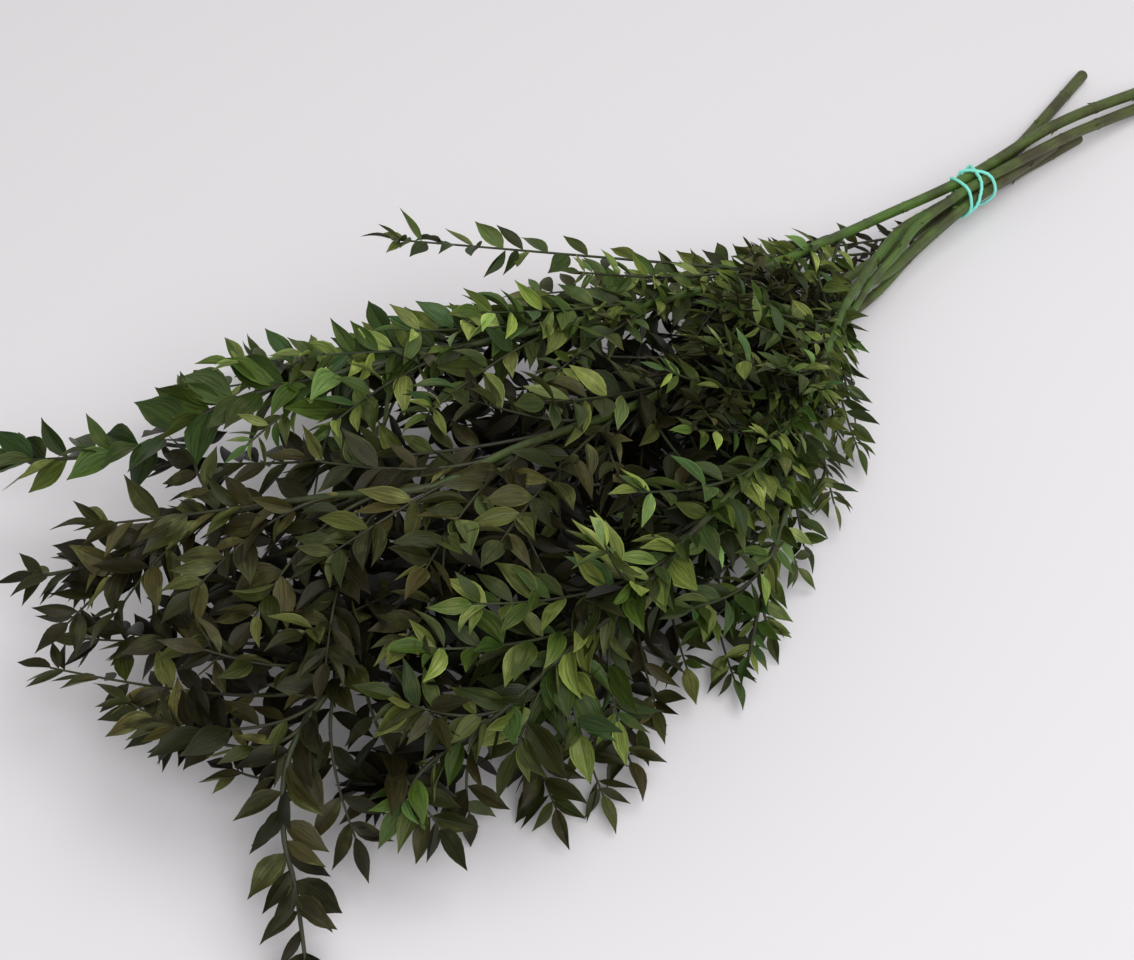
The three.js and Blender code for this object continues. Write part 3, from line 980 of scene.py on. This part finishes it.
def countCover(leaves):
    # painted shade makes leaves inside the bunch darker and browner: how far is each one covered
    middles = [leaf["root"] + leaf["direction"] * leaf["length"] / 2 for leaf in leaves]
    sizes = [(leaf["length"] / growth["fullLeaf"]) ** 2 for leaf in leaves]
    for leaf in leaves:
        leaf["cover"] = 1
    for way in cover["ways"]:
        way = Vector(way).normalized()
        heights = [middle.dot(way) for middle in middles]
        flat = [middle - way * height for middle, height in zip(middles, heights)]
        tree = pointTree(flat)
        for leaf, place, height in zip(leaves, flat, heights):
            near = tree.find_range(place, cover["reach"])
            over = sum(sizes[i] for _, i, _ in near if heights[i] > height + cover["rise"])
            leaf["cover"] = min(leaf["cover"], over / cover["full"])


leafForm = {  # middle and spread of each draw
    "arch": (0.28, 1.1),
    "twist": (0, 1.8),
    "fold": (0.4, 0.8),
    "halfWidth": (0.5, 0.14),
    "oliveSpread": 0.6,
}


def dressed(leaf):
    # turns a placed leaf into what the blade tree reads, in metres
    seed = leaf["seed"]
    # the cover count paints shade and light: a covered leaf is darker and browner, an open one lighter
    light = leaf["light"] * between(*cover["light"], leaf["cover"])
    light *= cover["dullest"] + cover["variety"] * draw(seed, 14) ** cover["dullMost"]
    olive = leaf["olive"] + cover["olive"] * leaf["cover"]
    olive = limited(spread(seed, 13, olive, leafForm["oliveSpread"]))
    halfWidth = leaf["length"] * growth["leafWidthShare"] * spread(seed, 8, *leafForm["halfWidth"])
    halfWidth *= (leaf["length"] / growth["fullLeaf"]) ** growth["slimmer"]
    form = [spread(seed, channel, *leafForm[name])
            for channel, name in ((10, "arch"), (11, "twist"), (12, "fold"))]
    return {
        "leafRoot": tiePlace + leaf["root"] * mm,
        "leafReach": leaf["direction"] * leaf["length"] * mm,
        "leafAcross": leaf["across"] * halfWidth * mm,
        "leafForm": form,
        "leafTintAndShade": (olive, light, draw(seed, 15)),
    }


bark = {
    "step": 4,
    "nodeFirst": (30, 20),
    "nodeEvery": (34, 16),
    "nodeLast": 20,           # mm from the far end
    "nodeRise": 1.1,
    "nodeHalf": 1.2,
    "cutBrown": 0.5,          # brown share added at the cut ends
    "cutFrom": (-10, 50),     # mm from the tie, over which it grows
    "cutEdge": ((0.0, 0.70), (0.04, 0.86), (0.12, 0.96)),  # depth and width, in radii
    "cutDepth": 0.3,          # from where a stem has its full width
    "leafyFrom": (300, 640),  # mm along a stem, over which it darkens with painted shade among the leaves
    "leafyLight": 0.35,
    "leafyBrown": 0.7,
    # painted shade of the shoots among the leaves
    "shootLight": 0.4,
    "shootBrown": (0.4, 0.5),  # of every shoot, and with its olive share
}

# small dry scales at the nodes of the bare stems
scales = {
    "length": (5.5, 3),
    "lean": 16,          # degrees off the stem
    "depth": 0.92,       # of the stem's radius, where a scale starts
    "olive": 1.0,
    "light": 0.9,
    "width": 1.3,
}


def shareBetween(value, reach):
    return limited((value - reach[0]) / (reach[1] - reach[0]))


def mainLook(point, way, bareBrown):
    # a main stem is greenest at the tie, browner towards its cut end and darker among the leaves, where
    # the darkening is painted shade
    leafy = shareBetween(way, bark["leafyFrom"])
    brown = bareBrown + bark["cutBrown"] * shareBetween(point.x, bark["cutFrom"])
    brown = limited(max(brown, bark["leafyBrown"] * leafy))
    return brown, between(1, bark["leafyLight"], leafy)


def nodesOn(path, seed):
    nodes = []
    place = spread(seed, 20, *bark["nodeFirst"])
    while place < path["length"] - bark["nodeLast"]:
        nodes.append(place)
        place += spread(seed + len(nodes), 21, *bark["nodeEvery"])
    return nodes


def scalesOn(path, until, seed):
    placed = []
    lean = scales["lean"] * degree
    for i, stop in enumerate(nodesOn(path, seed)):
        if stop > until:
            break
        point, _, axis = placeOn(path, stop)
        share = shareAt(path, stop)[0]
        radius = between(growth["buttDiameter"] / 2, growth["leaderDiameter"] / 2, share)
        out = Quaternion(axis, 360 * draw(seed + i, 22) * degree) @ axis.cross(up).normalized()
        placed.append({
            "root": point + out * radius * scales["depth"],
            "direction": axis * math.cos(lean) + out * math.sin(lean),
            "across": axis.cross(out).normalized() * scales["width"],
            "length": spread(seed + i, 23, *scales["length"]),
            "seed": seed + i,
            "olive": scales["olive"],
            "light": scales["light"],
        })
    return [scale for scale in placed if lowest(scale) > 0]


def rodOn(path, diameters, seed, lookAt):
    # (point, girth, way, brown, light) along a path, with a low ring at each node of the stem
    nodes = nodesOn(path, seed)
    stops = [i * bark["step"] for i in range(int(path["length"] / bark["step"]))]
    stops.append(path["length"])
    for node in nodes:
        stops += [node - bark["nodeHalf"], node, node + bark["nodeHalf"]]
    rod = []
    for stop in sorted(set(stops)):
        share = shareAt(path, stop)[0]
        radius = between(diameters[0] / 2, diameters[1] / 2, share)
        if stop in nodes:
            radius *= bark["nodeRise"]
        point = path["curve"](share)
        rod.append((tiePlace + point * mm, radius * mm, stop * mm, *lookAt(point, stop)))
    return rod


def cutEnd(rod):
    # rounds the first end of a rod over
    (point, girth, way, brown, light), following = rod[0], rod[1][0]
    inward = (following - point).normalized()
    ring = [(point + inward * girth * back, girth * share, way, 1.0, light)
            for back, share in bark["cutEdge"]]
    return ring + [(point + inward * girth * bark["cutDepth"], girth, way, brown, light)] + rod[1:]


def fillShoots(main, stem, stemSeed):
    # rows of shoots towards the inside of the bunch, in the same form as those in the lists
    shoots = []
    least, extra = denser["fillLowest"]
    for first, last, low, high, every, lean in stem["fill"]:
        count = int((last - first) / every)
        for i in range(count):
            seed = stemSeed + (denser["fillSeed"] + len(shoots)) * growth["seedsPerShoot"]
            start = first + (last - first) * i / count
            point, _, axis = placeOn(main, start)
            flat = axis.cross(up).normalized()
            tilt = between(low, high, draw(seed, 30)) * degree
            out = flat * math.cos(tilt) + up * math.sin(tilt)
            slant = spread(seed, 31, lean, denser["fillLeanSpread"]) * degree
            length = spread(seed, 32, *denser["fillLength"])
            tip = point + (axis * math.cos(slant) + out * math.sin(slant)) * length
            tip.z = max(tip.z, least + extra * draw(seed, 33))
            share = shareBetween(start, denser["fillLeafFrom"])
            leafLength = stem["leafLength"] * between(*denser["fillLeaf"], share)
            light = stem["light"] * between(*denser["fillLight"], share)
            shoots.append((start, *tip, leafLength, stem["olive"], light))
    return shoots


def growStem(name, number, stem):
    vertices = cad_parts[name].data.vertices
    corners = pointTree([(vertex.co - tiePlace) / mm for vertex in vertices])
    main = newPath(stemCurve(stem["route"]), growth["stemSteps"] * (len(stem["route"]) - 1))
    stemSeed = number * growth["seedsPerStem"]
    bareFrom, bareTo = stem.get("bare", (0, 0))
    leaves, rods, kept = scalesOn(main, stem["leafyFrom"], stemSeed), [], 0

    def addLeaves(path, own, added, olive, light, inSolid):
        nonlocal kept
        for i, leaf in enumerate(own + added):
            placed = asInSolid(path, leaf, corners) if inSolid and i < len(own) else None
            kept += placed is not None
            placed = placed or aboveTable(path, leaf)
            if placed:
                placed["olive"], placed["light"] = olive, light
                leaves.append(placed)

    def addMain():
        spacing, leafLength = growth["leafSpacing"], stem["leafLength"]
        own = leavesOn(main, stem["leafyFrom"], leafLength, stemSeed, spacing)
        added = leavesNearEnd(main, leafLength, stemSeed)
        paired = [leaf for leaf in own if leaf[0] > bareTo]
        added += partnersOf(paired, spacing, denser["leaderShare"])
        addLeaves(main, own, added, stem["olive"], stem["light"], True)

        diameters = growth["buttDiameter"], growth["leaderDiameter"]
        rods.append(cutEnd(rodOn(main, diameters, stemSeed,
                                 lambda point, way: mainLook(point, way, stem["brown"]))))

    def addShoot(seed, inSolid, start, x, y, z, leafLength, olive, light, bend=growth["shootBend"]):
        _, point, axis = placeOn(main, start)
        path = newPath(shootCurve(point, axis, Vector((x, y, z)), bend), growth["shootSteps"])
        spacing = growth["leafSpacing"] if inSolid else denser["spacingShare"] * leafLength
        bareLength = growth["bareShare"] * path["length"]
        own = leavesOn(path, bareLength, leafLength, seed, spacing)
        added = leavesNearEnd(path, leafLength, seed)
        sparse = (start, leafLength) in stem.get("sparse", [])
        paired = own[len(own) // 2:] if sparse else own
        added += partnersOf(paired, spacing, denser["betweenShare"])
        if not sparse and not bareFrom <= start <= bareTo:
            added += leavesNearBase(bareLength, leafLength, seed, spacing)
        addLeaves(path, own, added, olive, light, inSolid)

        least, more = bark["shootBrown"]
        # the shoot's bark gets painted shade, darker throughout
        look = least + more * olive, bark["shootLight"]
        diameters = growth["shootDiameter"], growth["shootTipDiameter"]
        rods.append(rodOn(path, diameters, seed, lambda point, way: look))

    addMain()
    for inSolid, first, shoots in (
            (True, 1, stem["shoots"]),
            (False, denser["moreSeed"], stem["moreShoots"]),
            (False, denser["fillSeed"], fillShoots(main, stem, stemSeed))):
        for i, shoot in enumerate(shoots):
            addShoot(stemSeed + (first + i) * growth["seedsPerShoot"], inSolid, *shoot)
    print(name + ":", len(leaves), "leaves,", kept, "as in the solid")
    return {"leaves": leaves, "rods": rods}


grown = {name: growStem(name, number, stem) for number, (name, stem) in enumerate(stems.items())}
countCover([leaf for stem in grown.values() for leaf in stem["leaves"]])
for name, stem in grown.items():
    wood, foliage = name + "_wood", name + "_leaves"
    addPiece(wood, rodMesh(wood, stem["rods"], rodSizes), name)
    leaves = [dressed(leaf) for leaf in stem["leaves"]]
    addPiece(foliage, leafMesh(foliage, leaves), name)
print("stems done")


# The band

band = {
    "diameter": 2,
    "turns": [(-10.5, -11.5, -13.5), (7, -1, -11.7), (-1, 9, 6)],  # x at 0, 1/4 and 1/2 of each
    "start": 45,
    "corners": [(13, 26), (5.4, 26), (1.6, 19.5), (5.4, 13), (13, 13)],  # y and z of outer stems
    "slack": 0.4,
    "evenedOver": range(-30, 31, 10),  # degrees
    "steps": 60,  # for each turn
}


def roundBundle(angle):
    # the band's y and z at an angle: on the outermost stem, evened out over a short arc
    reach = (growth["buttDiameter"] + band["diameter"]) / 2 + band["slack"]
    places = []
    for step in band["evenedOver"]:
        dy, dz = math.cos((angle + step) * degree), math.sin((angle + step) * degree)
        y, z = max(band["corners"], key=lambda corner: corner[0] * dy + corner[1] * dz)
        places.append(Vector((y + dy * reach, z + dz * reach)))
    return sum(places, Vector((0, 0))) / len(places)


def buildBand():
    line = []
    for turn, here in enumerate(band["turns"], 1):
        following = band["turns"][turn % len(band["turns"])][0]
        course = stemCurve([(x, 0, 0) for x in (*here, (here[2] + following) / 2, following)])
        for i in range(band["steps"]):
            y, z = roundBundle(band["start"] + 360 * i / band["steps"])
            point = Vector((course(i / band["steps"]).x, y, z))
            line.append((tiePlace + point * mm, band["diameter"] / 2 * mm, i * mm, 0.0, 1.0))
    line.append(line[0])
    addPiece("band", rodMesh("band", [line], bandSizes), "tie_band")


buildBand()
print("band done")
